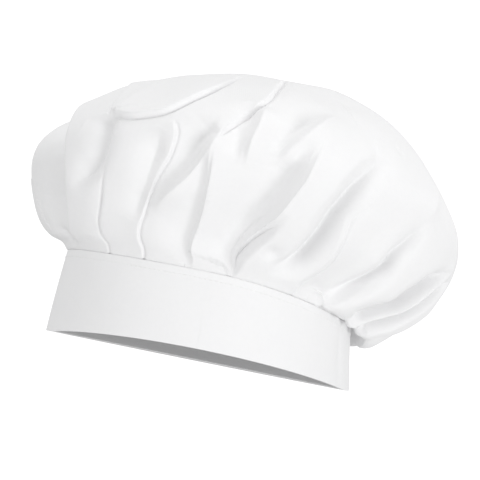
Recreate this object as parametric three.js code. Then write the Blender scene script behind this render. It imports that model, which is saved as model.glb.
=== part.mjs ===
import * as THREE from "three";

// A cook's hat in white cotton: an upright band, and a full soft crown gathered into it by pleats.
// Millimetres, +Z up. The hat stands on the band's lower edge, its front faces -Y, and the crown
// falls towards +X. The origin is on the floor, under the middle of the hat's bounding box.
// Angles are degrees round the hat: 0 is the front, 90 is +X (right), 180 the back, -90 -X (left).

// Half widths of the band's outside, measured from the middle of the head opening.
const BAND_RIM = { left: 98.7, right: 100, front: 90, back: 91 };
const BAND_TOP = { left: 95.8, right: 93, front: 86.5, back: 87.5 };
// Height of the band's top edge. The band is lower at the right and the back.
const BAND_HEIGHT = { left: 53, right: 40.5, front: 52.5, back: 43 };
// The band's lower edge stands on the floor at the sides and the back. At the front it arches up, and
// the arch starts where the cosine of the angle is ARCH_FROM.
const FRONT_ARCH = 7;
const ARCH_FROM = 0.3;
const ARCH_CURVE = 1.2;

const CLOTH = 1; // one folded layer of the band
const CROWN_WALL = 1.5;
const GAP = 0.3; // between the crown's edge and the band's layers
const SLOT_DEPTH = 9; // how deep the pocket between the band's two layers is
const TUCK_DEPTH = 8; // how far the crown's edge goes down into that pocket
const INNER_LAYER_DROP = 2; // the inner layer stops this far under the outer one
const RIM_WALL = 2.4; // the band's thickness at its lower edge
const LOWER_WALL = 2.6;
const LOWER_WALL_DROP = 18; // below the top edge, the two layers lie flat on each other

// The crown's outline, from the band up: how far it reaches to each side, and how high it is there.
const CROWN_SECTIONS = [
  { name: "over", left: [96.4, 54.8], right: [93.8, 42.3], front: [87.2, 54.4], back: [88.4, 44.9] },
  { name: "lip", left: [101, 57.4], right: [98, 41.4], front: [89.6, 58.4], back: [92.5, 45.2] },
  { name: "fall", left: [110, 59.5], right: [103, 34.5], front: [92, 64], back: [100, 42.5] },
  { name: "under", left: [118, 66], right: [114, 32.5], front: [95.5, 71.5], back: [109, 46] },
  { name: "low", left: [125, 77], right: [131, 43.5], front: [101, 81], back: [119, 57] },
  { name: "below_belly", left: [131, 91], right: [146.5, 63.5], front: [109, 94], back: [128, 73] },
  { name: "belly", left: [134, 106], right: [154.5, 88], front: [116, 109], back: [134, 92] },
  { name: "above_belly", left: [129.5, 122], right: [151, 109], front: [119, 124], back: [134, 111] },
  { name: "shoulder", left: [116.5, 138], right: [139.5, 130], front: [115, 139], back: [127, 129] },
  { name: "upper", left: [98, 152.5], right: [122.5, 152], front: [103, 153], back: [113, 147] },
  { name: "top", left: [74, 166.5], right: [98, 171.5], front: [81, 167], back: [90, 164] },
  { name: "near_peak", left: [38, 178.5], right: [62, 187], front: [49, 180], back: [55, 178.5] },
  { name: "peak", left: [-18, 188], right: [18, 188], front: [0, 188], back: [0, 188] },
];

// Behind the band's right side the cloth hangs lower. It sags most at SAG_ANGLE, from where it leaves
// the band at the rise SAG_FROM to where it turns up again at SAG_TO.
const SAG = 10;
const SAG_ANGLE = 115;
const SAG_SPREAD = 35;
const SAG_FROM = 0.143;
const SAG_TO = 0.42;

// Each fold runs over the crown through three places, given as angle and rise. Rise is in percent of
// the way from the crown's tucked edge to its peak. Under is how deep the cloth dips beside the fold's
// line and over is how high it stands on the other side, each with the width that it fades out in.
// Side says where the high side is: 1 is clockwise of the line, seen from its start, -1 is the other.
const FOLD_COLUMNS = [
  "name", "angle0", "rise0", "angle1", "rise1", "angle2", "rise2",
  "side", "under", "underWidth", "over", "overWidth", "startFade", "endFade",
];
const FOLD_ROWS = [
  ["left_lobe", -58, 12, -51.5, 42, -57, 72, 1, 8, 16, 2.5, 16, 0.02, 0.25],
  ["left_pleat", -41, 12, -38, 33, -36, 54, -1, 1.2, 8, 1, 8, 0.02, 0.4],
  ["left_dent", -44, 46, -39.5, 58, -42, 71, 1, 4.5, 8, 0.5, 8, 0.35, 0.35],
  ["middle_pleat", -27, 12, -22.5, 42, -22, 70, -1, 2, 9, 1.2, 8, 0.02, 0.25],
  ["middle_dent", -25.5, 44, -24.6, 56, -23.5, 69, 1, 2, 8, 0, 8, 0.3, 0.3],
  ["flap_edge", -41, 69, -27, 69.5, -10, 92, -1, 5, 12, 4, 16, 0.1, 0.3],
  ["flap_end", -41, 69, -49, 76, -64, 84, 1, 3, 10, 2, 14, 0.1, 0.3],
  ["long_valley", -21, 42, -16, 57, -9.5, 69, 1, 6, 10, 2.5, 9, 0.25, 0.25],
  ["long_crease", -13, 62, -5, 72, 7, 92, -1, 4, 9, 2, 9, 0.2, 0.2],
  ["soft_dip", 0, 82, -1.3, 68, -2, 54, 1, 2.5, 10, 0, 8, 0.3, 0.4],
  ["front_valley", -8.5, 12, -9.5, 40, -9.8, 68, 1, 7, 9, 2, 12, 0.02, 0.3],
  ["centre_valley", 7.5, 12, 9, 40, 11, 58, 1, 9, 13, 2.5, 12, 0.02, 0.3],
  ["centre_dip", 10, 48, 11.5, 64, 19, 76, 1, 3.5, 10, 1, 9, 0.3, 0.3],
  ["upper_dent", 1, 63, 10, 74, 32, 87, 1, 5, 10, 2, 10, 0.3, 0.35],
  ["right_valley", 17, 22, 19.5, 48, 38, 74, -1, 8, 12, 3, 9, 0.2, 0.2],
  ["right_pleat", 28, 12, 26.5, 44, 33, 66, -1, 3, 14, 1.5, 8, 0.02, 0.3],
  ["corner_valley", 48, 12, 44, 46, 50, 65, 1, 8, 15, 3, 9, 0.02, 0.2],
  ["low_valley", 57, 20, 60, 44, 75, 58, 1, 7, 10, 2, 7, 0.1, 0.25],
  ["right_edge", 69, 16, 70, 42, 80, 55, 1, 6, 9, 2, 8, 0.02, 0.3],
  ["right_contour", 49, 62, 60, 70, 77, 77, -1, 3, 10, 2, 10, 0.3, 0.3],
  ["back_1", 84, 12, 84, 42, 92, 66, 1, 8, 13, 2.5, 11, 0.02, 0.3],
  ["back_2", 100, 12, 103, 44, 98, 72, 1, 7, 14, 2, 12, 0.02, 0.3],
  ["back_3", 117, 12, 118, 40, 127, 63, -1, 9, 15, 2.5, 12, 0.02, 0.3],
  ["back_4", 135, 12, 138, 46, 134, 78, 1, 8, 14, 2.5, 12, 0.02, 0.3],
  ["back_5", 152, 12, 155, 42, 164, 68, -1, 7, 14, 2, 12, 0.02, 0.3],
  ["back_6", 170, 12, 172, 44, 168, 80, 1, 9, 15, 2.5, 12, 0.02, 0.3],
  ["back_7", 189, 12, 190, 42, 198, 64, -1, 7, 13, 2, 11, 0.02, 0.3],
  ["back_8", 207, 12, 209, 45, 206, 74, 1, 8, 15, 2.5, 12, 0.02, 0.3],
  ["back_9", 226, 12, 228, 42, 236, 66, -1, 8, 14, 2, 12, 0.02, 0.3],
  ["back_10", 244, 12, 247, 43, 243, 78, 1, 8, 14, 2.5, 12, 0.02, 0.3],
  ["back_11", 263, 12, 264, 40, 270, 62, -1, 7, 14, 2, 12, 0.02, 0.3],
  ["back_12", 282, 12, 284, 42, 282, 70, 1, 6, 13, 2, 11, 0.02, 0.3],
  ["top_1", 118, 68, 132, 80, 150, 90, 1, 4, 12, 1.5, 12, 0.3, 0.3],
  ["top_2", 214, 66, 226, 78, 238, 90, -1, 4, 12, 1.5, 12, 0.3, 0.3],
  ["top_3", 262, 68, 274, 78, 286, 88, -1, 3.5, 12, 1.5, 12, 0.3, 0.3],
];
const FOLDS = FOLD_ROWS.map((row) => Object.fromEntries(FOLD_COLUMNS.map((column, i) => [column, row[i]])));
const FOLD_SAMPLES = 24;
const STEP_WIDTH = 5; // half the width in which a fold goes from its low side to its high side
const NARROWEST = 8; // no side of a fold fades out in less than this
const FOLDS_START = 0.11; // no fold reaches into the band below this rise
const FOLDS_FULL = 0.36;
const FOLDS_FADE = 0.9; // above this rise the folds fade out towards the peak
const FOLDS_END = 0.97;
const GATHER_RISE = 0.36; // below this rise the folds get narrower towards the band
const GATHER_SHARE = 0.5;

const COLUMNS = 104;
const CROWN_ROWS = 24;
const FRONT_CROWDING = 0.22; // columns stand closer together at the front, where the photo shows folds

const PEAK_RISE = 0.995; // the cloth is level above this rise
const SMALL_STEP = 0.002; // how far apart the places are that give the cloth's slope

const SIDES = ["left", "right", "front", "back"];
const radians = THREE.MathUtils.degToRad;
const smooth = (from, to, value) => THREE.MathUtils.smoothstep(value, from, to);

function sides(value) {
  return Object.fromEntries(SIDES.map((side) => [side, value(side)]));
}

// A place on a closed curve that reaches the four half widths, each with its own height.
function around(reach, height, angle) {
  const s = Math.sin(angle);
  const c = Math.cos(angle);
  const x = (reach.right - reach.left) / 2 + ((reach.right + reach.left) / 2) * s;
  const y = (reach.back - reach.front) / 2 - ((reach.back + reach.front) / 2) * c;
  const sideways = s > 0 ? height.right : height.left;
  const lengthways = c > 0 ? height.front : height.back;
  return new THREE.Vector3(x, y, sideways * s * s + lengthways * c * c);
}

// The crown's edge runs down inside the band's outer layer, and leans out as the band does.
const EDGE_INSET = CLOTH + GAP;
const EDGE_RISE = 0.5; // the crown starts to turn outwards this far above the band
const edgeReach = sides((side) => BAND_TOP[side] - EDGE_INSET);
const lean = sides((side) => (BAND_RIM[side] - BAND_TOP[side]) / BAND_HEIGHT[side]);
const TUCKED_SECTIONS = [
  {
    reach: sides((side) => edgeReach[side] + lean[side] * TUCK_DEPTH),
    height: sides((side) => BAND_HEIGHT[side] - TUCK_DEPTH),
  },
  { reach: edgeReach, height: sides((side) => BAND_HEIGHT[side] + EDGE_RISE) },
];
const SECTIONS = [
  ...TUCKED_SECTIONS,
  ...CROWN_SECTIONS.map((row) => ({
    reach: sides((side) => row[side][0]),
    height: sides((side) => row[side][1]),
  })),
];

// The value of a smooth curve through the sections, at a rise from 0 to 1.
function between(values, rise) {
  const last = values.length - 1;
  const at = Math.min(Math.max(rise, 0), 1) * last;
  const i = Math.min(Math.floor(at), last - 1);
  const f = at - i;
  const [a, b, c, d] = [values[Math.max(i - 1, 0)], values[i], values[i + 1], values[Math.min(i + 2, last)]];
  const squared = 2 * a - 5 * b + 4 * c - d;
  const cubed = 3 * b - a - 3 * c + d;
  return 0.5 * (2 * b + (c - a) * f + squared * f ** 2 + cubed * f ** 3);
}

function sag(angle, rise) {
  const turned = THREE.MathUtils.euclideanModulo(angle - radians(SAG_ANGLE) + Math.PI, 2 * Math.PI) - Math.PI;
  const away = turned / radians(SAG_SPREAD);
  const share = THREE.MathUtils.clamp((rise - SAG_FROM) / (SAG_TO - SAG_FROM), 0, 1);
  return SAG * Math.exp(-(away ** 2)) * Math.sin(Math.PI * share) ** 2;
}

// The crown's outside without its folds.
function smoothCrown(angle, rise) {
  const reach = sides((side) => between(SECTIONS.map((row) => row.reach[side]), rise));
  const height = sides((side) => between(SECTIONS.map((row) => row.height[side]), rise));
  const place = around(reach, height, angle);
  place.z -= sag(angle, rise);
  return place;
}

function outward(angle, rise) {
  if (rise > PEAK_RISE) return new THREE.Vector3(0, 0, 1);
  const step = SMALL_STEP;
  const round = smoothCrown(angle + step, rise).sub(smoothCrown(angle - step, rise));
  const up = smoothCrown(angle, rise + step).sub(smoothCrown(angle, Math.max(rise - step, 0)));
  return round.cross(up).normalize();
}

// A fold's line, as places on the smooth crown.
function foldLine(fold) {
  const places = [];
  for (let k = 0; k <= FOLD_SAMPLES; k++) {
    const s = k / FOLD_SAMPLES;
    const [first, middle, last] = [(1 - s) * (1 - 2 * s), 4 * s * (1 - s), s * (2 * s - 1)];
    const angle = radians(first * fold.angle0 + middle * fold.angle1 + last * fold.angle2);
    const rise = (first * fold.rise0 + middle * fold.rise1 + last * fold.rise2) / 100;
    places.push({ along: s, point: smoothCrown(angle, rise) });
  }
  return places;
}
const FOLD_LINES = FOLDS.map(foldLine);

// The nearest place on a fold's line: how far along it is, and how far to the line's right the point lies.
function besideLine(line, point, normal) {
  let best = { away: Infinity };
  for (let k = 0; k < line.length - 1; k++) {
    const start = line[k].point;
    const step = line[k + 1].point.clone().sub(start);
    const toPoint = point.clone().sub(start);
    const share = Math.min(Math.max(toPoint.dot(step) / step.lengthSq(), 0), 1);
    const offset = toPoint.addScaledVector(step, -share);
    const away = offset.length();
    if (away < best.away) {
      const right = step.clone().cross(normal).dot(offset) > 0 ? 1 : -1;
      best = { away, right: right * away, along: line[k].along + share / FOLD_SAMPLES };
    }
  }
  return best;
}

// How far the folds move the cloth outwards at a place on the crown.
function foldHeight(point, normal, rise) {
  const inPlay = smooth(FOLDS_START, FOLDS_FULL, rise) * (1 - smooth(FOLDS_FADE, FOLDS_END, rise));
  const gathered = GATHER_SHARE + (1 - GATHER_SHARE) * smooth(FOLDS_START, GATHER_RISE, rise);
  let height = 0;
  FOLDS.forEach((fold, i) => {
    const { right, along } = besideLine(FOLD_LINES[i], point, normal);
    const strength = smooth(0, fold.startFade, along) * (1 - smooth(1 - fold.endFade, 1, along));
    const across = right * fold.side;
    const high = smooth(-STEP_WIDTH, STEP_WIDTH, across);
    const dip = -fold.under * Math.exp(-((across / Math.max(fold.underWidth * gathered, NARROWEST)) ** 2));
    const ridge = fold.over * Math.exp(-((across / Math.max(fold.overWidth * gathered, NARROWEST)) ** 2));
    height += strength * ((1 - high) * dip + high * ridge);
  });
  return height * inPlay;
}

function columnAngle(column) {
  const even = (2 * Math.PI * column) / COLUMNS;
  return even - FRONT_CROWDING * Math.sin(even);
}

// A closed body from rings of points. The rings run round the hat, and join each to the next one.
function ringedBody(rings, closesOnItself) {
  const points = rings.flat();
  const faces = [];
  const steps = closesOnItself ? rings.length : rings.length - 1;
  for (let r = 0; r < steps; r++) {
    for (let c = 0; c < COLUMNS; c++) {
      const next = (c + 1) % COLUMNS;
      const here = r * COLUMNS;
      const above = ((r + 1) % rings.length) * COLUMNS;
      faces.push([here + c, here + next, above + next], [here + c, above + next, above + c]);
    }
  }
  return { points, faces };
}

function geometryOf({ points, faces }) {
  const geometry = new THREE.BufferGeometry();
  geometry.setAttribute("position", new THREE.Float32BufferAttribute(points.flatMap((p) => p.toArray()), 3));
  geometry.setIndex(faces.flat());
  geometry.computeVertexNormals();
  return geometry;
}

// The crown: its outside from the tucked edge up to the peak, and its inside one wall further in.
function crownGeometry() {
  const outside = [];
  const inside = [];
  for (let row = 0; row < CROWN_ROWS; row++) {
    const rise = row / CROWN_ROWS;
    const outerRing = [];
    const innerRing = [];
    for (let column = 0; column < COLUMNS; column++) {
      const angle = columnAngle(column);
      const place = smoothCrown(angle, rise);
      const normal = outward(angle, rise);
      const height = foldHeight(place, normal, rise);
      outerRing.push(place.clone().addScaledVector(normal, height));
      innerRing.push(place.clone().addScaledVector(normal, height - CROWN_WALL));
    }
    outside.push(outerRing);
    inside.push(innerRing);
  }
  const body = ringedBody([...inside.reverse(), ...outside], false);
  const peak = smoothCrown(0, 1);
  const outerPeak = body.points.push(peak.clone()) - 1;
  const innerPeak = body.points.push(peak.clone().setZ(peak.z - CROWN_WALL)) - 1;
  const topRing = (2 * CROWN_ROWS - 1) * COLUMNS;
  for (let c = 0; c < COLUMNS; c++) {
    const next = (c + 1) % COLUMNS;
    body.faces.push([topRing + c, topRing + next, outerPeak], [next, c, innerPeak]);
  }
  return geometryOf(body);
}

// The band's section: how far in from its outside each corner lies, and its height above the lower edge
// or its drop below the top edge.
const BAND_SECTION = [
  { name: "outer_foot", inset: 0, up: 0 },
  { name: "outer_top", inset: 0, drop: 0 },
  { name: "pocket_mouth", inset: CLOTH, drop: 0 },
  { name: "pocket_floor_outside", inset: CLOTH, drop: SLOT_DEPTH },
  { name: "pocket_floor_inside", inset: EDGE_INSET + CROWN_WALL + GAP, drop: SLOT_DEPTH },
  { name: "inner_layer_mouth", inset: EDGE_INSET + CROWN_WALL + GAP, drop: INNER_LAYER_DROP },
  { name: "inner_layer_top", inset: EDGE_INSET + CROWN_WALL + GAP + CLOTH, drop: INNER_LAYER_DROP },
  { name: "inner_wall", inset: LOWER_WALL, drop: LOWER_WALL_DROP },
  { name: "inner_foot", inset: RIM_WALL, up: 0 },
];

function bandPoint(corner, angle) {
  const top = around(BAND_TOP, BAND_HEIGHT, angle).z;
  const foot = FRONT_ARCH * (Math.max(Math.cos(angle) - ARCH_FROM, 0) / (1 - ARCH_FROM)) ** ARCH_CURVE;
  const z = corner.up === undefined ? top - corner.drop : foot + corner.up;
  const down = (top - z) / top;
  const reach = sides((side) => BAND_TOP[side] + (BAND_RIM[side] - BAND_TOP[side]) * down - corner.inset);
  return around(reach, BAND_HEIGHT, angle).setZ(z);
}

function bandGeometry() {
  const rings = BAND_SECTION.map((corner) =>
    Array.from({ length: COLUMNS }, (_, column) => bandPoint(corner, columnAngle(column))),
  );
  return geometryOf(ringedBody(rings, true));
}

const cotton = () => new THREE.MeshStandardMaterial({ color: 0xf4f4f4, roughness: 0.75, metalness: 0 });

const band = new THREE.Mesh(bandGeometry(), cotton());
band.name = "band";
const crown = new THREE.Mesh(crownGeometry(), cotton());
crown.name = "crown";

const hat = new THREE.Group();
hat.add(band, crown);
const bounds = new THREE.Box3().setFromObject(hat);
const middle = bounds.getCenter(new THREE.Vector3());
hat.position.set(-middle.x, -middle.y, -bounds.min.z);
hat.updateMatrixWorld(true);

export default hat;
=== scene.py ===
"""A soft white chef hat standing on its band: the cloth's folds, seams, stitches and looks.

Lengths are in millimetres up to the meshes, which are in metres. Angles are degrees round the hat:
0 is the front, 90 the right (+X), 180 the back and -90 the left.
"""
import math

import bpy
import numpy as np
from mathutils import Matrix, Vector


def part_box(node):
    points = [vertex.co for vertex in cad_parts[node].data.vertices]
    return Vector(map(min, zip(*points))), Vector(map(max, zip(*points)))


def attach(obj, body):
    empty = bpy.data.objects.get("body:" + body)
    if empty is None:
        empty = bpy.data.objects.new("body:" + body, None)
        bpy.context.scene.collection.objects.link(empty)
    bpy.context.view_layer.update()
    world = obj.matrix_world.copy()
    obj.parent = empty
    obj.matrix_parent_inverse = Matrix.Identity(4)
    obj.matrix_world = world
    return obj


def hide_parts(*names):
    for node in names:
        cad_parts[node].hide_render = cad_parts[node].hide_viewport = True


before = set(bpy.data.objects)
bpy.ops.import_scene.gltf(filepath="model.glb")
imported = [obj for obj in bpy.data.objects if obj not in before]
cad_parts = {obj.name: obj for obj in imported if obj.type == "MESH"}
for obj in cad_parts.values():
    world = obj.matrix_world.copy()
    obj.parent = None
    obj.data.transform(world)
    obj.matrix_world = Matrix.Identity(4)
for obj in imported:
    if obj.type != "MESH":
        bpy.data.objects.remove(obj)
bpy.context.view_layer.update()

MM = 0.001

# Half widths of the band's outside, from the middle of the head opening: left, right, front, back
BAND_RIM = np.array([98.7, 100.0, 90.0, 91.0])
BAND_TOP = np.array([95.8, 93.0, 86.5, 87.5])
BAND_HEIGHT = np.array([53.0, 40.5, 52.5, 43.0])
# The rim stands on the floor at the sides and the back. In front it arches up, from where the
# cosine of the angle is ARCH_FROM
FRONT_ARCH = 7.0
ARCH_FROM = 0.3
ARCH_CURVE = 1.2

# Layers of cloth, and the pocket between the band's two layers that the crown's edge is tucked into
CLOTH = 1.0
CROWN_WALL = 1.5
GAP = 0.3
SLOT_DEPTH = 9.0
TUCK_DEPTH = 8.0
EDGE_RISE = 0.2
INNER_LAYER_DROP = 2.0
RIM_WALL = 2.4
LOWER_WALL = 2.6
LOWER_WALL_DROP = 18.0
CORNER = 0.2

# The middle of the head opening, in the model's frame
band_low, band_high = (np.array(corner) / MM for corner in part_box("band"))
CENTRE = np.array([band_low[0] + BAND_RIM[0], band_low[1] + BAND_RIM[2], 0.0])

# The crown's outline from the band up. Reach and height, each at the left, right, front and back
CROWN_SECTIONS = [
    ("over", (96.15, 93.35, 86.85, 87.85), (53.05, 40.55, 52.55, 43.05)),
    ("lip", (101, 98, 89.2, 92.5), (57.2, 41.2, 57.5, 45)),
    ("fall", (110, 103, 92, 100), (59.5, 34.5, 64, 42.5)),
    ("under", (118, 114, 95.5, 109), (66, 32.5, 71.5, 46)),
    ("low", (125, 131, 101, 119), (77, 43.5, 81, 57)),
    ("below_belly", (131, 146.5, 109, 128), (91, 63.5, 94, 73)),
    ("belly", (134, 154.5, 116, 134), (106, 88, 109, 92)),
    ("above_belly", (129.5, 151, 119, 134), (122, 109, 124, 111)),
    ("shoulder", (116.5, 138.5, 115, 127), (138, 130, 139, 129)),
    ("upper", (98, 120.5, 103, 113), (152.5, 152, 153, 147)),
    ("top", (74, 95.5, 81, 90), (166.5, 171.5, 167, 164)),
    ("near_peak", (38, 60.5, 49, 55), (178.5, 187, 180, 178.5)),
    ("peak", (-18, 18, 0, 0), (188, 188, 188, 188)),
]

# Behind the band's right side the cloth hangs lower. It sags most at SAG_ANGLE, from where it leaves
# the band at the rise SAG_FROM to where it turns up again at SAG_TO.
SAG = 10.0
SAG_ANGLE = 115.0
SAG_SPREAD = 35.0
SAG_FROM = 0.143
SAG_TO = 0.42

# Folds: first those that the photograph shows, from the left to the right, then plainer ones round
# the back. Each line runs up over the crown through places given as angle and rise, in percent of
# the way to the peak. The cloth dips by dip at the line, or rises in a ridge where dip is negative,
# and comes back over the left and right widths: a small width makes a step, where one part of the
# cloth lies over the next. Sharp is 1 for a crisp crease at the line and 2 for a round hollow.
# Groove is the depth of a thin crease along the line, or at the foot of a ridge's steep side. The
# fades are the shares of the line over which the fold comes in and dies out. Root is the rise, in
# percent, from which the cloth takes the fold's full depth: nearer the seam the fold gets shallower.
FOLD_COLUMNS = "name dip left right sharp groove start_fade end_fade root places".split()
FOLD_ROWS = [
    ("left_lobe", 11, 24, 1.3, 1.2, 3, 0.25, 0.25, 42,
     [(-71, 10), (-58, 28), (-52.5, 39), (-51.5, 48), (-51.5, 56), (-54, 61), (-58, 66), (-66, 71), (-80, 76),
      (-98, 79), (-118, 79)]),
    ("left_pinch", 7, 5, 5, 1.5, 0, 0.3, 0.5, 42, [(-66, 11), (-61.5, 22), (-60.5, 28), (-66, 33)]),
    ("left_pleat", 0.8, 4, 1.5, 1.2, 1, 0.02, 0.4, 42,
     [(-41.5, 9), (-39, 28), (-36.5, 42), (-36, 51), (-36, 58)]),
    ("left_dent", 7, 8, 4, 1.3, 0, 0.4, 0.1, 42,
     [(-47.5, 47.5), (-42, 50.5), (-38, 55), (-38, 62), (-41.5, 69)]),
    ("middle_dent", 5.5, 7, 8, 1.4, 0, 0.3, 0.3, 42,
     [(-25.5, 37.5), (-25, 45.5), (-24, 54.5), (-23.5, 60), (-23.5, 66)]),
    ("middle_pleat", -1.2, 6, 1.2, 1.2, 1.2, 0.02, 0.15, 42,
     [(-27, 9), (-23.5, 36.5), (-23, 44), (-22, 52), (-20, 59), (-20, 65), (-22.5, 68.5)]),
    ("flap_edge", -2.6, 25, 1.4, 1.2, 2.5, 0.05, 0.3, 42,
     [(-41, 69), (-34.5, 68.5), (-30, 69.5), (-25, 71.5), (-21, 76.5), (-17, 83.5), (-14, 91)]),
    ("flap_end", -2.2, 1.4, 16, 1.3, 1.5, 0.05, 0.2, 42, [(-41.5, 69), (-44, 72.5), (-49, 78), (-58, 83)]),
    ("long_crease", -2.2, 10, 1.6, 1.2, 1.5, 0.1, 0.15, 42, [(-10, 66), (-6, 73), (0, 80), (3, 86), (8, 92)]),
    ("right_valley", 14, 5, 7, 1.6, 0, 0.2, 0.6, 34,
     [(18, 30), (22.5, 37), (22, 45), (21.5, 53), (24.5, 61), (29.5, 67), (35, 70.5), (41, 71)]),
    ("corner_valley", 12, 6, 4, 1.6, 0, 0.3, 0.65, 42,
     [(47, 16), (44, 28), (43, 37.5), (43.5, 43.5), (44, 47.5), (43.5, 51.5), (45.5, 56), (47.5, 59.5),
      (50.5, 63), (53, 66)]),
    ("centre_foot", 12, 13, 2, 1.3, 0, 0.02, 0.5, 32,
     [(7.1, 9), (8.2, 20), (9.3, 33), (9.8, 41), (10.5, 46.5), (11.5, 51)]),
    ("right_crest", -2.2, 8, 4, 1.6, 0, 0.15, 0.4, 42,
     [(19, 28), (21, 35), (19, 42), (17, 48), (17, 54.5), (20, 60.5), (23, 65), (27.5, 69), (33, 72),
      (37, 72), (39.5, 70.5)]),
    ("valley_foot", 3, 5, 5, 1.8, 0, 0.5, 0.5, 42, [(12, 37), (15.5, 38), (19, 37)]),
    ("right_crease", -1.6, 10, 3, 1.0, 0.8, 0.02, 0.35, 34,
     [(28.5, 8), (30, 20), (30, 32.5), (29, 41.5), (27, 47), (25, 53), (25.5, 55.5), (28, 59), (30.5, 62)]),
    ("right_hollow", 6, 13, 9, 2, 0, 0.3, 0.7, 30, [(41, 14), (37.5, 30), (35.5, 42), (35, 50), (36, 58)]),
    ("right_contour", -2, 10, 5, 1.3, 0, 0.25, 0.3, 42,
     [(47, 57), (48, 60), (51.5, 64), (55.5, 67), (63.5, 72), (72, 75)]),
    ("low_crest", -1.5, 8, 4, 1.2, 0, 0.02, 0.2, 26,
     [(51, 9), (55, 20), (55.5, 32), (54.5, 39), (57, 43.5), (58.5, 47), (61.5, 52), (71, 57), (78, 60)]),
    ("low_valley", 21, 7, 3, 1.5, 0, 0.4, 0.2, 38,
     [(57.5, 22), (57, 32), (56.5, 38), (59, 42.5), (60, 47), (63, 51), (70, 56)]),
    ("lower_crest", -2, 3.5, 4, 1.2, 0, 0.02, 0.2, 26,
     [(60, 9), (62, 20), (60, 32), (59, 38), (61.5, 44), (62.5, 47), (64.5, 50.5), (73.5, 56.5)]),
    ("lower_valley", 21, 5.5, 3, 1.5, 0, 0.4, 0.2, 38,
     [(66, 22), (65, 31), (63.5, 35.5), (66.5, 42), (68.5, 46.5), (71.5, 50.5), (77, 55)]),
    ("lowest_valley", 13, 5, 6, 1.6, 0, 0.5, 0.2, 40,
     [(75, 22), (74, 33), (79, 40), (81, 44), (84, 48), (90, 52.5)]),
    ("lowest_crest", -1.5, 3.5, 5, 1.2, 0, 0.02, 0.2, 26,
     [(70, 9), (71, 20), (69, 33), (74, 40), (75.5, 44), (78, 48), (84, 52.5)]),
    ("back_1", 9, 10, 18, 1.2, 0, 0.02, 0.3, 42, [(84, 9), (83, 30), (86, 48), (93, 66)]),
    ("back_2", 8, 10, 18, 1.2, 0, 0.02, 0.3, 42, [(100, 9), (103, 32), (102, 52), (97, 72)]),
    ("back_3", 10, 18, 10, 1.2, 0, 0.02, 0.3, 42, [(117, 9), (117, 28), (120, 46), (128, 63)]),
    ("back_4", 9, 10, 18, 1.2, 0, 0.02, 0.3, 42, [(135, 9), (138, 34), (138, 56), (133, 78)]),
    ("back_5", 8, 18, 10, 1.2, 0, 0.02, 0.3, 42, [(152, 9), (154, 30), (157, 48), (165, 68)]),
    ("back_6", 10, 10, 18, 1.2, 0, 0.02, 0.3, 42, [(170, 9), (172, 34), (172, 56), (167, 80)]),
    ("back_7", 8, 18, 10, 1.2, 0, 0.02, 0.3, 42, [(189, 9), (189, 30), (192, 46), (199, 64)]),
    ("back_8", 9, 10, 18, 1.2, 0, 0.02, 0.3, 42, [(207, 9), (209, 32), (209, 54), (205, 74)]),
    ("back_9", 9, 18, 10, 1.2, 0, 0.02, 0.3, 42, [(226, 9), (227, 30), (230, 48), (237, 66)]),
    ("back_10", 9, 10, 18, 1.2, 0, 0.02, 0.3, 42, [(244, 9), (247, 32), (246, 54), (242, 78)]),
    ("back_11", 8, 18, 10, 1.2, 0, 0.02, 0.3, 42, [(263, 9), (263, 30), (266, 46), (271, 62)]),
    ("top_1", 5, 8, 7, 1.5, 0, 0.3, 0.3, 42, [(118, 68), (126, 75), (136, 82), (152, 90)]),
    ("top_2", 5, 8, 7, 1.5, 0, 0.3, 0.3, 42, [(214, 66), (221, 74), (229, 82), (240, 90)]),
]
FOLDS = [dict(zip(FOLD_COLUMNS, row)) for row in FOLD_ROWS]

# Pleats, where one part of the cloth stands over the next. The crest is the line. To its left the cloth
# falls down a wall into a trough and comes back over the tail, and to its right it eases down. Round
# is 1 for a crisp crest and 2 for a soft one. The fades and the root are as for the folds.
PLEAT_COLUMNS = "name height wall tail ease round start_fade end_fade root places".split()
PLEAT_ROWS = [
    ("long_pleat", 9.5, 9, 10, 12, 1.4, 0.3, 0.3, 42,
     [(-20.5, 42.5), (-17.5, 48.5), (-13.5, 54.5), (-11, 61), (-9.5, 65.5), (-8, 71)]),
    ("soft_pleat", 6.5, 8, 8, 10, 1.3, 0.3, 0.2, 42, [(-1.5, 58), (-1.5, 66), (-0.5, 71.5), (0, 78)]),
    ("front_pleat", 7, 7, 12, 14, 1, 0.02, 0.35, 36,
     [(-7, 8), (-6, 33.5), (-7, 43), (-8, 50), (-8.5, 56), (-9, 61.5), (-8.5, 65)]),
    ("centre_pleat", 15, 9.5, 16, 26, 1, 0.02, 0.3, 36,
     [(7, 8), (8, 20), (8.5, 33), (8, 41), (8.5, 46.5), (9.5, 51), (10.5, 55), (12, 59.5), (13.5, 63.5),
      (15.5, 68), (18, 73)]),
    ("corner_pleat", 10, 6, 12, 9, 1, 0.02, 0.5, 32,
     [(44.5, 8), (44.5, 16), (44.5, 28), (44.5, 37.5), (44.5, 43.5), (45, 47.5), (45, 53)]),
    ("upper_pleat", 9, 9, 10, 12, 1.6, 0.3, 0.35, 42,
     [(5, 61), (6.5, 64), (8.5, 67), (11, 70), (15, 74), (19.5, 78), (26, 81.5)]),
]
PLEATS = [dict(zip(PLEAT_COLUMNS, row)) for row in PLEAT_ROWS]

# Folds begin at the rise FOLDS_START and die out near the peak. The thin grooves reach further down.
FOLDS_START = 0.11
FOLDS_FADE = 0.9
FOLDS_END = 0.985
GROOVES_START = 0.085
GROOVES_FULL = 0.16
CREASE_ROOT = 42
# Near the band, up to the rise GATHER_RISE, folds get narrower, down to this share of their width
GATHER_RISE = 0.36
GATHER_SHARE = 0.45
# Where folds meet, their dips partly add up, but the cloth never sinks much more than this
BLEND = 1.5
DEEPEST = 22.0
GROOVE_WIDTH = 0.9
GROOVE_OFFSET = 0.6

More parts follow.
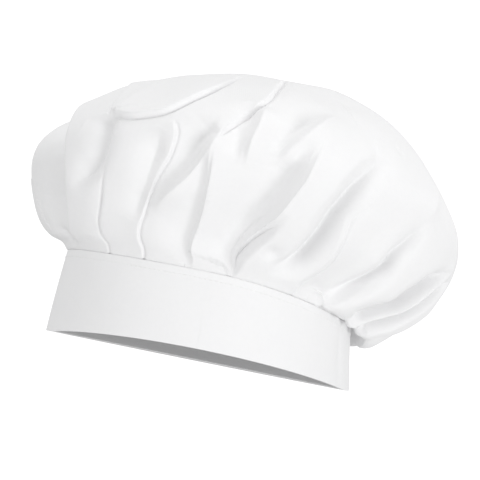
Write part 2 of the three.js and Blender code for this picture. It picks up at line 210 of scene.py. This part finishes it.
# Slow unevenness all over the crown: height, size across and seed
RIPPLES = [(1.0, 55, 3), (0.35, 22, 4)]
RIPPLES_FULL = 0.3
RIPPLES_FADE = 0.93
RIPPLES_END = 0.99

# Small creases lean as the big folds near them do
SMALL_CREASES = 150
LEAN_ANGLES = [-180, -60, -20, 20, 50, 80, 180]
LEANS = [0, -0.1, 0.15, 0.35, 0.3, 0.6, 0]

# The crown's grid. Its rings are FINE_STEP apart, and COARSE_STEP from the rise COARSE_FROM up.
# Each count of places round a ring holds up to the rise beside it. The inside is coarser.
FINE_STEP = 0.9
COARSE_STEP = 1.8
COARSE_FROM = 0.88
RING_COUNTS = [(1440, 0.88), (720, 0.95), (360, 0.98), (180, 1.0)]
LINING_STEP = 6
LINING_COUNT = 180
# Places stand closer together at the front, where the photograph shows folds
FRONT_CROWDING = 0.5
BAND_CROWDING = 0.25
BAND_COUNT = 480
RISE_SAMPLES = 2001
TURN_SAMPLES = 4001
PEAK_RISE = 0.993
SLOPE_STEP = 0.002
FACES_KEPT = 185000

# Unevenness of the band's wall: the share, the number of waves round the band and where they start
BAND_WAVES = [(0.5, 3, 0.7), (0.35, 5, 2.1), (0.2, 9, 0.4)]
BAND_WAVE_HEIGHT = 0.55
BAND_CREASE_ANGLE = 63
BAND_CREASE_WIDTH = 2.2
BAND_CREASE_DEPTH = 0.9

# A row of short stitches runs STITCH_DROP under the band's top edge
STITCH = 2.3
STITCH_PITCH = 3.1
STITCH_RADIUS = 0.24
STITCH_DROP = 4.6
STITCH_BOW = 0.28
STITCH_SUNK = 0.16
STITCH_SIDES = 6
STITCH_STEPS = 6

random = np.random.default_rng(17)


# Shapes

def smooth(start, end, value):
    t = np.clip((np.asarray(value, float) - start) / (end - start), 0, 1)
    return t * t * (3 - 2 * t)


def unit(vectors):
    return vectors / np.maximum(np.linalg.norm(vectors, axis=-1, keepdims=True), 1e-9)


def around(reach, height, angle):
    """Places on a closed curve with its own reach and height at the left, right, front and back."""
    s, c = np.sin(angle), np.cos(angle)
    left, right, front, back = reach
    x = (right - left) / 2 + (right + left) / 2 * s
    y = (back - front) / 2 - (back + front) / 2 * c
    sideways = np.where(s > 0, height[1], height[0])
    lengthways = np.where(c > 0, height[2], height[3])
    return np.stack([x, y, sideways * s**2 + lengthways * c**2], axis=-1)


edge_reach = BAND_TOP - CLOTH - GAP
band_lean = (BAND_RIM - BAND_TOP) / BAND_HEIGHT
SECTION_REACH = np.array(
    [edge_reach + band_lean * TUCK_DEPTH, edge_reach] + [row[1] for row in CROWN_SECTIONS], float
)
SECTION_HEIGHT = np.array(
    [BAND_HEIGHT - TUCK_DEPTH, BAND_HEIGHT + EDGE_RISE] + [row[2] for row in CROWN_SECTIONS], float
)


def between(values, rise):
    """A smooth curve through the rows of values, at rises from 0 to 1."""
    last = len(values) - 1
    at = np.clip(rise, 0, 1) * last
    i = np.minimum(at.astype(int), last - 1)
    f = (at - i)[..., None]
    a, b, c, d = values[np.maximum(i - 1, 0)], values[i], values[i + 1], values[np.minimum(i + 2, last)]
    return 0.5 * (2 * b + (c - a) * f + (2 * a - 5 * b + 4 * c - d) * f**2 + (3 * b - a - 3 * c + d) * f**3)


def sag(angle, rise):
    away = ((np.degrees(angle) - SAG_ANGLE + 180) % 360 - 180) / SAG_SPREAD
    share = np.clip((rise - SAG_FROM) / (SAG_TO - SAG_FROM), 0, 1)
    return SAG * np.exp(-(away**2)) * np.sin(math.pi * share) ** 2


def smooth_crown(angle, rise):
    """The crown's outside without folds, at angles in radians and rises of the same shape."""
    reach = np.moveaxis(between(SECTION_REACH, rise), -1, 0)
    height = np.moveaxis(between(SECTION_HEIGHT, rise), -1, 0)
    place = around(reach, height, angle)
    place[..., 2] -= sag(angle, rise)
    return place


def outward(angle, rise):
    step = SLOPE_STEP
    rise = np.minimum(rise, PEAK_RISE)
    round_hat = smooth_crown(angle + step, rise) - smooth_crown(angle - step, rise)
    up = smooth_crown(angle, rise + step) - smooth_crown(angle, np.maximum(rise - step, 0))
    return unit(np.cross(round_hat, up))


def ripple(points, size, seed, waves=14):
    """A smooth random relief from about -1 to 1, whose bumps are about size across."""
    own = np.random.default_rng(seed)
    total = np.zeros(points.shape[:-1])
    for _ in range(waves):
        direction = own.normal(size=3)
        direction *= 2 * math.pi / (size * own.uniform(1.2, 2.8)) / np.linalg.norm(direction)
        total += np.sin(points @ direction + own.uniform(0, 2 * math.pi))
    return total / math.sqrt(waves)


def line_through(places, samples):
    """A smooth line over the crown through places given as angle and rise in percent."""
    stops = np.array(places, float)
    at = np.linspace(0, 1, samples + 1)
    angle, rise = between(stops, at).T
    return smooth_crown(np.radians(angle), rise / 100)


def beside(line, points, normals):
    """For each point: its share along the line, and how far it is to the line's right."""
    nearest = np.full(len(points), np.inf)
    along = np.zeros(len(points))
    across = np.zeros(len(points))
    segments = len(line) - 1
    for k in range(segments):
        step = line[k + 1] - line[k]
        to_point = points - line[k]
        share = np.clip(to_point @ step / (step @ step), 0, 1)
        offset = to_point - share[:, None] * step
        away = np.linalg.norm(offset, axis=1)
        nearer = away < nearest
        rightwards = np.einsum("ij,ij->i", np.cross(step, normals), offset)
        nearest = np.where(nearer, away, nearest)
        along = np.where(nearer, (k + share) / segments, along)
        across = np.where(nearer, np.where(rightwards > 0, away, -away), across)
    return along, across


class Cloth:
    """Places on the crown and how far the folds have moved each of them."""

    def __init__(self, angle, rise):
        self.rise = rise
        self.base = smooth_crown(angle, rise)
        self.normal = outward(angle, rise)
        self.dips = np.zeros(len(angle))
        self.ridges = np.zeros(len(angle))
        self.creases = np.zeros(len(angle))
        self.groove_play = smooth(GROOVES_START, GROOVES_FULL, rise)
        self.gather = GATHER_SHARE + (1 - GATHER_SHARE) * smooth(GROOVES_START, GATHER_RISE, rise)

    def play(self, near, root):
        """How far folds may move the cloth: not at all at the band and the peak, fully from the root up."""
        rise = self.rise[near]
        return smooth(FOLDS_START, root / 100, rise) * (1 - smooth(FOLDS_FADE, FOLDS_END, rise))

    def near(self, line, reach):
        low, high = line.min(axis=0) - reach, line.max(axis=0) + reach
        return np.flatnonzero(((self.base > low) & (self.base < high)).all(axis=1))

    def fold(self, dip, left, right, sharp, groove, start_fade, end_fade, root, places, **_):
        line = line_through(places, samples=12 * (len(places) - 1))
        near = self.near(line, 3 * max(left, right))
        along, across = beside(line, self.base[near], self.normal[near])
        strength = smooth(0, start_fade, along) * (1 - smooth(1 - end_fade, 1, along))
        width = np.where(across < 0, left, right) * self.gather[near]
        relief = self.play(near, root) * strength * dip * np.exp(-((np.abs(across) / width) ** sharp))
        self.dips[near] += np.maximum(relief, 0) ** BLEND
        self.ridges[near] += np.maximum(-relief, 0) ** BLEND
        # Beside a ridge the groove lies at the foot of its steep side
        if dip > 0:
            foot = 0.0
        elif right < left:
            foot = right + GROOVE_OFFSET
        else:
            foot = -left - GROOVE_OFFSET
        groove_strength = self.groove_play[near] * strength
        self.creases[near] -= groove_strength * groove * np.exp(-(((across - foot) / GROOVE_WIDTH) ** 2))

    def pleat(self, height, wall, tail, ease, round, start_fade, end_fade, root, places, **_):
        line = line_through(places, samples=12 * (len(places) - 1))
        near = self.near(line, wall + 3 * max(tail, ease))
        along, across = beside(line, self.base[near], self.normal[near])
        strength = smooth(0, start_fade, along) * (1 - smooth(1 - end_fade, 1, along)) * self.play(near, root)
        across = across / self.gather[near]
        down = np.clip(-across / wall, 0, 1)
        crisp_wall = 0.5 - np.sin(math.pi / 2 * down)
        round_wall = 0.5 * np.cos(math.pi * down)
        on_wall = crisp_wall + (round_wall - crisp_wall) * (round - 1)
        on_tail = -0.5 * np.exp(-((np.maximum(-across - wall, 0) / tail) ** 1.6))
        on_ease = 0.5 * np.exp(-((np.maximum(across, 0) / ease) ** round))
        relief = strength * height * np.where(across > 0, on_ease, np.where(across > -wall, on_wall, on_tail))
        self.dips[near] += np.maximum(-relief, 0) ** BLEND
        self.ridges[near] += np.maximum(relief, 0) ** BLEND

    def crease(self, places, depth, width, fade=0.5):
        line = line_through(places, samples=8)
        near = self.near(line, 3 * width)
        along, across = beside(line, self.base[near], self.normal[near])
        strength = smooth(0, fade, along) * (1 - smooth(1 - fade, 1, along)) * self.play(near, CREASE_ROOT)
        self.creases[near] -= strength * depth * np.exp(-((across / width) ** 2))

    def settle(self):
        """Adds up the relief. Where folds meet, the deeper one counts most."""
        dip = DEEPEST * np.tanh(self.dips ** (1 / BLEND) / DEEPEST)
        self.height = self.ridges ** (1 / BLEND) - dip + self.creases

    def place(self, wall=0.0):
        return self.base + self.normal * (self.height - wall)[:, None]


# Meshes

def mesh_object(name, points, faces, coordinates=None):
    mesh = bpy.data.meshes.new(name)
    mesh.from_pydata(((points + CENTRE) * MM).tolist(), [], faces)
    mesh.polygons.foreach_set("use_smooth", [True] * len(faces))
    if coordinates is not None:
        layer = mesh.attributes.new("cloth", "FLOAT_VECTOR", "POINT")
        layer.data.foreach_set("vector", (coordinates * MM).astype(np.float32).ravel())
    mesh.update()
    piece = bpy.data.objects.new(name, mesh)
    bpy.context.scene.collection.objects.link(piece)
    return piece


def join_rings(lower, lower_count, upper, upper_count):
    """Faces between two rings. The larger count is a whole number of times the smaller."""
    faces = []
    if lower_count == upper_count:
        for c in range(lower_count):
            n = (c + 1) % lower_count
            faces.append((lower + c, lower + n, upper + n, upper + c))
        return faces
    if lower_count > upper_count:
        ratio = lower_count // upper_count
        for c in range(upper_count):
            n = (c + 1) % upper_count
            for k in range(ratio):
                a = lower + c * ratio + k
                b = lower + (c * ratio + k + 1) % lower_count
                faces.append((a, b, upper + (c if k < ratio / 2 else n)))
                if k == ratio // 2 - 1:
                    faces.append((b, upper + n, upper + c))
        return faces
    return [tuple(reversed(face)) for face in join_rings(upper, upper_count, lower, lower_count)]


def ring_angles(count, crowding):
    even = np.arange(count) * 2 * math.pi / count
    return even - crowding * np.sin(even)


def thinned(piece, faces_kept):
    """Merges small faces where the cloth is smooth, and keeps them where a fold is crisp."""
    piece.data.update()
    triangles = sum(len(face.vertices) - 2 for face in piece.data.polygons)
    thinner = piece.modifiers.new("thinner", "DECIMATE")
    thinner.ratio = min(1.0, faces_kept / triangles)
    bpy.context.view_layer.update()
    mesh = bpy.data.meshes.new_from_object(piece.evaluated_get(bpy.context.evaluated_depsgraph_get()))
    piece.modifiers.clear()
    piece.data = mesh
    mesh.polygons.foreach_set("use_smooth", [True] * len(mesh.polygons))
    return piece


def crown_rises(fine_step, coarse_step, coarse_from):
    """Rises from the tucked edge to just under the peak, at even steps of cloth."""
    rise = np.linspace(0, 1, RISE_SAMPLES)
    length = np.zeros(RISE_SAMPLES)
    for angle in np.radians([0, 90, 180, 270]):
        path = smooth_crown(np.full(RISE_SAMPLES, angle), rise)
        length[1:] += np.cumsum(np.linalg.norm(np.diff(path, axis=0), axis=1)) / 4
    rises = []
    at = 0.0
    while at < length[-1] - coarse_step * 0.6:
        rises.append(np.interp(at, length, rise))
        at += fine_step if rises[-1] < coarse_from else coarse_step
    return np.array(rises), length[-1]


def build_crown():
    rises, cloth_length = crown_rises(FINE_STEP, COARSE_STEP, COARSE_FROM)
    counts = [next(count for count, end in RING_COUNTS if r < end) for r in rises]
    angle = np.concatenate([ring_angles(n, FRONT_CROWDING) for n in counts])
    rise = np.concatenate([np.full(n, r) for n, r in zip(counts, rises)])
    cloth = Cloth(angle, rise)
    for fold in FOLDS:
        cloth.fold(**fold)
    for pleat in PLEATS:
        cloth.pleat(**pleat)
    add_small_creases(cloth)
    cloth.settle()
    amount = smooth(GROOVES_START, RIPPLES_FULL, rise) * (1 - smooth(RIPPLES_FADE, RIPPLES_END, rise))
    cloth.height += amount * sum(height * ripple(cloth.base, size, seed) for height, size, seed in RIPPLES)
    outside = cloth.place()

    inner_rises = rises[::LINING_STEP]
    inner_count = LINING_COUNT
    inner_angle = np.concatenate([ring_angles(inner_count, FRONT_CROWDING) for _ in inner_rises])
    inner_rise = np.concatenate([np.full(inner_count, r) for r in inner_rises])
    lining = Cloth(inner_angle, inner_rise)
    # The inside follows the lowest place of the outside near it, so that the two never meet.
    ring_starts = np.concatenate([[0], np.cumsum(counts)])
    heights = []
    for i in range(0, len(rises), LINING_STEP):
        lowest = np.full(inner_count, np.inf)
        for j in range(max(i - LINING_STEP + 1, 0), min(i + LINING_STEP, len(rises))):
            ring = cloth.height[ring_starts[j]:ring_starts[j + 1]]
            ratio = max(len(ring) // inner_count, 1)
            if len(ring) < inner_count:
                ring = np.repeat(ring, inner_count // len(ring))
            for k in range(-ratio, ratio + 1):
                lowest = np.minimum(lowest, np.roll(ring, -k)[::ratio])
        heights.append(lowest)
    lining.height = np.concatenate(heights)
    inside = lining.place(wall=CROWN_WALL)

    points = np.vstack([inside, outside, smooth_crown(np.zeros(1), np.ones(1))])
    points = np.vstack([points, points[-1:] - [0, 0, CROWN_WALL]])
    outer_peak, inner_peak = len(points) - 2, len(points) - 1
    faces = []
    last_inner = (len(inner_rises) - 1) * inner_count
    for ring in range(0, last_inner, inner_count):
        faces += [face[::-1] for face in join_rings(ring, inner_count, ring + inner_count, inner_count)]
    faces += [(last_inner + (c + 1) % inner_count, last_inner + c, inner_peak) for c in range(inner_count)]
    first_outer = len(inside)
    faces += join_rings(0, inner_count, first_outer, counts[0])
    outer_starts = first_outer + ring_starts
    for i in range(len(rises) - 1):
        faces += join_rings(outer_starts[i], counts[i], outer_starts[i + 1], counts[i + 1])
    last_outer = outer_starts[-2]
    faces += [(last_outer + c, last_outer + (c + 1) % counts[-1], outer_peak) for c in range(counts[-1])]

    # Where each place lies on the flat round of cloth that the crown is cut from
    every_angle = np.concatenate([inner_angle, angle, [0, 0]])
    every_rise = np.concatenate([inner_rise, rise, [1, 1]])
    from_peak = cloth_length * (1 - every_rise)
    directions = [np.sin(every_angle), np.cos(every_angle), 0 * every_angle]
    flat = np.stack([from_peak * direction for direction in directions], axis=1)
    faces = [tuple(int(i) for i in face) for face in faces]
    return thinned(mesh_object("crown_cloth", points, faces, flat), FACES_KEPT)


def add_small_creases(cloth):
    """Short soft creases all over, leaning as the big folds do, and puckers along the seam."""
    for _ in range(SMALL_CREASES):
        angle = random.uniform(-180, 180)
        rise = random.uniform(22, 82)
        lean = np.interp(angle, LEAN_ANGLES, LEANS)
        length = random.uniform(5, 14)
        turn = (lean + random.normal(0, 0.25)) * length
        bow = random.normal(0, 0.8)
        shares = (0, 0.33, 0.67, 1)
        places = [(angle + turn * s + bow * math.sin(math.pi * s), rise + length * s) for s in shares]
        depth = random.uniform(0.15, 0.7) * random.choice([1, 1, -0.7])
        width = random.uniform(1.6, 4.5)
        cloth.crease(places, depth, width)
    angle = -180.0
    while angle < 180:
        top = random.uniform(13, 24)
        near_seam = angle + random.normal(0, 0.4)
        end = angle + random.normal(0, 1)
        depth = random.uniform(0.2, 0.9)
        width = random.uniform(1.2, 2.4)
        cloth.crease([(angle, 8.5), (near_seam, 11), (angle, 14), (end, top)], depth, width, fade=0.25)
        angle += random.uniform(3, 7)


# Band

def band_wave(angle):
    """Slow waves in the band's wall, and the soft upright crease at its right."""
    wave = sum(height * np.sin(number * angle + start) for height, number, start in BAND_WAVES)
    away = (np.degrees(angle) + 180) % 360 - 180 - BAND_CREASE_ANGLE
    return BAND_WAVE_HEIGHT * wave - BAND_CREASE_DEPTH * np.exp(-((away / BAND_CREASE_WIDTH) ** 2))


def rim_arch(angle):
    return FRONT_ARCH * (np.maximum(np.cos(angle) - ARCH_FROM, 0) / (1 - ARCH_FROM)) ** ARCH_CURVE


def band_ring(angle, inset, drop=None, up=None):
    top = around(BAND_TOP, BAND_HEIGHT, angle)[:, 2]
    foot = rim_arch(angle)
    z = top - drop if up is None else foot + up
    share = (top - z) / top
    reach = [BAND_TOP[i] + (BAND_RIM[i] - BAND_TOP[i]) * share - inset for i in range(4)]
    ring = around(reach, BAND_HEIGHT, angle)
    middle = np.sin(np.pi * np.clip(share, 0, 1))
    out = unit(ring * [1, 1, 0])
    ring += out * (band_wave(angle) * middle)[:, None]
    ring[:, 2] = z
    return ring


def build_band():
    count = BAND_COUNT
    angle = ring_angles(count, BAND_CROWDING)
    slot_inner = CLOTH + GAP + CROWN_WALL + GAP
    rings = [band_ring(angle, 0.5, up=0.0), band_ring(angle, 0.12, up=0.15), band_ring(angle, 0.0, up=0.55)]
    top = around(BAND_TOP, BAND_HEIGHT, angle)[:, 2]
    foot = rim_arch(angle)
    for share in np.linspace(0.04, 0.97, 24):
        rings.append(band_ring(angle, 0.0, drop=(top - foot) * (1 - share)))
    rings += [
        band_ring(angle, 0.0, drop=CORNER),
        band_ring(angle, 0.08, drop=0.05),
        band_ring(angle, CLOTH / 2, drop=0.0),
        band_ring(angle, CLOTH - 0.15, drop=0.1),
        band_ring(angle, CLOTH, drop=CORNER),
        band_ring(angle, CLOTH, drop=SLOT_DEPTH),
        band_ring(angle, slot_inner, drop=SLOT_DEPTH),
        band_ring(angle, slot_inner, drop=INNER_LAYER_DROP + CORNER),
        band_ring(angle, slot_inner + CLOTH / 2, drop=INNER_LAYER_DROP),
        band_ring(angle, slot_inner + CLOTH, drop=INNER_LAYER_DROP + CORNER),
    ]
    inner_wall_drop = INNER_LAYER_DROP + 1.5
    for share in np.linspace(0, 1, 10):
        inset = slot_inner + CLOTH + (LOWER_WALL - slot_inner - CLOTH) * share
        drop = inner_wall_drop + share * (LOWER_WALL_DROP - inner_wall_drop)
        rings.append(band_ring(angle, inset, drop=drop))
    for share in np.linspace(0.1, 0.95, 8):
        drop = LOWER_WALL_DROP + (top - foot - LOWER_WALL_DROP) * share
        rings.append(band_ring(angle, LOWER_WALL - 0.2 * share, drop=drop))
    rings += [band_ring(angle, RIM_WALL, up=0.5), band_ring(angle, RIM_WALL - 0.5, up=0.0)]
    points = np.vstack(rings)
    faces = []
    for i in range(len(rings)):
        faces += join_rings(i * count, count, (i + 1) % len(rings) * count, count)
    girth = np.cumsum(np.linalg.norm(np.diff(rings[3], axis=0, prepend=rings[3][-1:]), axis=1))
    flat = np.vstack([np.stack([girth, ring[:, 2], 0 * girth], axis=1) for ring in rings])
    return mesh_object("band_cloth", points, faces, flat)


def build_stitches():
    turn = np.linspace(0, 2 * math.pi, TURN_SAMPLES)
    path = band_ring(turn, 0.0, drop=np.full(len(turn), STITCH_DROP))
    length = np.concatenate([[0], np.cumsum(np.linalg.norm(np.diff(path, axis=0), axis=1))])
    pitch = length[-1] / round(length[-1] / STITCH_PITCH)
    points, faces = [], []
    for start in np.arange(0, length[-1] - STITCH_PITCH / 2, pitch):
        at = start + np.linspace(0, STITCH, STITCH_STEPS + 1)
        spine = np.stack([np.interp(at, length, path[:, i]) for i in range(3)], axis=1)
        along = unit(spine[-1] - spine[0])
        out = unit(np.cross(along, [0, 0, 1]))
        up = np.cross(out, along)
        base = len(points)
        for k in range(STITCH_STEPS + 1):
            arch = math.sin(math.pi * k / STITCH_STEPS)
            bulge = STITCH_RADIUS * max(arch, 0.25) ** 0.4
            centre = spine[k] + out * (STITCH_BOW * arch - STITCH_SUNK)
            for j in range(STITCH_SIDES):
                round_thread = 2 * math.pi * j / STITCH_SIDES
                points.append(centre + bulge * (math.cos(round_thread) * out + math.sin(round_thread) * up))
        for k in range(STITCH_STEPS):
            for j in range(STITCH_SIDES):
                n = (j + 1) % STITCH_SIDES
                a, b = base + k * STITCH_SIDES, base + (k + 1) * STITCH_SIDES
                faces.append((a + j, b + j, b + n, a + n))
        last = base + STITCH_STEPS * STITCH_SIDES
        faces.append(tuple(base + j for j in range(STITCH_SIDES)))
        faces.append(tuple(last + j for j in reversed(range(STITCH_SIDES))))
    return mesh_object("band_topstitch", np.array(points), faces)


# Materials

THREAD_SPACING = 0.55
WEAVE_SCALE = math.pi / 10 / (THREAD_SPACING * MM)
DARKER_THREADS = 0.965


def cotton(name, colour, weave_depth):
    """Woven white cotton: threads both ways, uneven yarns, soft fuzz and faint crumples."""
    material = bpy.data.materials.new(name)
    material.use_nodes = True
    nodes, links = material.node_tree.nodes, material.node_tree.links
    shader = nodes["Principled BSDF"]
    shader.inputs["Roughness"].default_value = 0.82
    shader.inputs["Specular IOR Level"].default_value = 0.25
    shader.inputs["Sheen Weight"].default_value = 0.12
    shader.inputs["Sheen Roughness"].default_value = 0.5

    place = nodes.new("ShaderNodeAttribute")
    place.attribute_name = "cloth"
    spot = nodes.new("ShaderNodeTexCoord")

    def wave(direction):
        node = nodes.new("ShaderNodeTexWave")
        node.wave_type = "BANDS"
        node.bands_direction = direction
        node.inputs["Scale"].default_value = WEAVE_SCALE
        node.inputs["Distortion"].default_value = 1.2
        node.inputs["Detail"].default_value = 1.0
        node.inputs["Detail Scale"].default_value = 0.6
        links.new(place.outputs["Vector"], node.inputs["Vector"])
        return node.outputs["Fac"]

    def mix(a, b, operation):
        node = nodes.new("ShaderNodeMath")
        node.operation = operation
        for value, socket in ((a, node.inputs[0]), (b, node.inputs[1])):
            if isinstance(value, (int, float)):
                socket.default_value = value
            else:
                links.new(value, socket)
        return node.outputs[0]

    def noise(size, detail, source):
        node = nodes.new("ShaderNodeTexNoise")
        node.inputs["Scale"].default_value = 1 / (size * MM)
        node.inputs["Detail"].default_value = detail
        links.new(source, node.inputs["Vector"])
        return node.outputs["Fac"]

    weave = mix(wave("X"), wave("Y"), "MULTIPLY")
    slub = noise(2.5, 3, spot.outputs["Object"])
    cloudy = noise(35, 2, spot.outputs["Object"])
    crumple = noise(9, 4, spot.outputs["Object"])

    ramp = nodes.new("ShaderNodeValToRGB")
    ramp.color_ramp.elements[0].position = 0.3
    ramp.color_ramp.elements[0].color = (*[c * DARKER_THREADS for c in colour], 1)
    ramp.color_ramp.elements[1].position = 0.75
    ramp.color_ramp.elements[1].color = (*colour, 1)
    clouds_and_weave = mix(mix(cloudy, 0.45, "MULTIPLY"), mix(weave, 0.2, "MULTIPLY"), "ADD")
    tone = mix(mix(slub, 0.35, "MULTIPLY"), clouds_and_weave, "ADD")
    links.new(tone, ramp.inputs["Fac"])
    links.new(ramp.outputs["Color"], shader.inputs["Base Color"])

    relief = mix(mix(weave, weave_depth, "MULTIPLY"), mix(crumple, 0.35, "MULTIPLY"), "ADD")
    bump = nodes.new("ShaderNodeBump")
    bump.inputs["Strength"].default_value = 0.35
    bump.inputs["Distance"].default_value = 0.6 * MM
    links.new(relief, bump.inputs["Height"])
    links.new(bump.outputs["Normal"], shader.inputs["Normal"])
    return material


def plain(name, colour, roughness, glow):
    """A matt material that also gives off some white light."""
    material = bpy.data.materials.new(name)
    material.use_nodes = True
    shader = material.node_tree.nodes["Principled BSDF"]
    shader.inputs["Base Color"].default_value = (*colour, 1)
    shader.inputs["Roughness"].default_value = roughness
    shader.inputs["Emission Color"].default_value = (1, 1, 1, 1)
    shader.inputs["Emission Strength"].default_value = glow
    return material


# Assembly

WHITE = (0.86, 0.86, 0.865)
# The width of the flat round of cloth that the crown is gathered from. Over its peak, the crown
# measures 509 mm between the band's top edges, and 524 mm with its tucked edge.
crown = build_crown()
crown.data.materials.append(cotton("crown_cotton", WHITE, 0.25))
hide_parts("crown")

band = build_band()
band.data.materials.append(cotton("band_cotton", WHITE, 0.25))
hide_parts("band")

stitches = build_stitches()
stitches.data.materials.append(cotton("thread", (0.84, 0.84, 0.84), 0.1))

for piece in (crown, band, stitches):
    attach(piece, "root")

# Floor
FLOOR_HALF = 6.0
floor_corners = [(-1, -1, 0), (1, -1, 0), (1, 1, 0), (-1, 1, 0)]
floor_mesh = bpy.data.meshes.new("floor")
floor_mesh.from_pydata([Vector(corner) * FLOOR_HALF for corner in floor_corners], [], [(0, 1, 2, 3)])
floor = bpy.data.objects.new("floor", floor_mesh)
bpy.context.scene.collection.objects.link(floor)
floor.data.materials.append(plain("floor_white", (0.95, 0.95, 0.95), 0.9, glow=0.4))
floor.visible_diffuse = False
floor.visible_glossy = False
floor.visible_shadow = False

# A grey card inside the rim, so that no light comes up through the floor into the hat: a sheet of painted
# shade under the hat's inside. It glows faintly, a painted light that sets how bright the shaded inside
# looks.
CARD_INSET = 2.6
CARD_LIFT = 0.02
CARD_CORNERS = 64
card_turn = np.arange(CARD_CORNERS) * 2 * math.pi / CARD_CORNERS
card_edge = around(BAND_RIM - CARD_INSET, BAND_HEIGHT * 0, card_turn) + [0, 0, CARD_LIFT]
card = mesh_object("card", card_edge, [tuple(range(CARD_CORNERS))])
# The card's grey is painted shade and its glow is painted light, for the inside of the hat
card.data.materials.append(plain("painted_shade_grey", (0.4, 0.4, 0.4), 0.9, glow=0.4))

# Light
# An even white sky, with a brighter patch behind the hat for the photograph's white background
SKY = 0.67
BACKDROP = 1.3
BACKDROP_EDGE = 4.0


def studio_sky():
    world = bpy.context.scene.world or bpy.data.worlds.new("world")
    bpy.context.scene.world = world
    world.use_nodes = True
    nodes, links = world.node_tree.nodes, world.node_tree.links
    background = nodes["Background"]
    background.inputs["Color"].default_value = (1, 1, 1, 1)
    way = nodes.new("ShaderNodeTexCoord")
    backwards = nodes.new("ShaderNodeVectorMath")
    backwards.operation = "DOT_PRODUCT"
    backwards.inputs[1].default_value = (0, BACKDROP_EDGE, 0)
    patch = nodes.new("ShaderNodeMath")
    patch.operation = "ADD"
    patch.inputs[1].default_value = BACKDROP - BACKDROP_EDGE
    brighter = nodes.new("ShaderNodeMath")
    brighter.operation = "MAXIMUM"
    brighter.inputs[1].default_value = SKY
    links.new(way.outputs["Generated"], backwards.inputs[0])
    links.new(backwards.outputs["Value"], patch.inputs[0])
    links.new(patch.outputs[0], brighter.inputs[0])
    links.new(brighter.outputs[0], background.inputs["Strength"])


studio_sky()

# Three large soft lamps: the side that each stands on, and its power as a share of
# the main lamp's. The photograph's hat is lightest on its right and its top, and darkest on its left.
MAIN_POWER = 1.3
LAMP_SPREAD = 30.0
LAMPS = [
    ("main_right", (1, -1, -0.3), 1.0),
    ("top", (0, 0, 1), 0.7),
    ("fill_left", (-1, -1, 0), 0.5),
]
for name, side, share in LAMPS:
    light = bpy.data.lights.new(name, "SUN")
    light.energy = MAIN_POWER * share
    light.angle = math.radians(LAMP_SPREAD)
    lamp = bpy.data.objects.new(name, light)
    bpy.context.scene.collection.objects.link(lamp)
    lamp.rotation_euler = Vector(side).to_track_quat("Z", "Y").to_euler()

# Camera. The hat leans in the photograph and stands level here, so the camera is rolled instead.
CAMERA_PLACE = np.array([12.0, -900.0, 4.0])
CAMERA_AIM = np.array([12.0, 0.0, 82.0])
MM_PER_PIXEL = 0.65
IMAGE_WIDTH = 480
ROLL = 11.4
SENSOR = 36
CLIP_START = 0.001
camera_data = bpy.data.cameras.new("camera")
distance = float(np.linalg.norm(CAMERA_AIM - CAMERA_PLACE))
camera_data.sensor_width = SENSOR
camera_data.lens = SENSOR * distance / (MM_PER_PIXEL * IMAGE_WIDTH)
camera_data.clip_start = CLIP_START
camera = bpy.data.objects.new("camera", camera_data)
bpy.context.scene.collection.objects.link(camera)
forward = Vector(CAMERA_AIM - CAMERA_PLACE).normalized()
turned = forward.to_track_quat("-Z", "Y").to_matrix() @ Matrix.Rotation(math.radians(ROLL), 3, "Z")
camera.matrix_world = Matrix.Translation(Vector((CENTRE + CAMERA_PLACE) * MM)) @ turned.to_4x4()
bpy.context.scene.camera = camera

bpy.context.scene.view_settings.view_transform = "Standard"
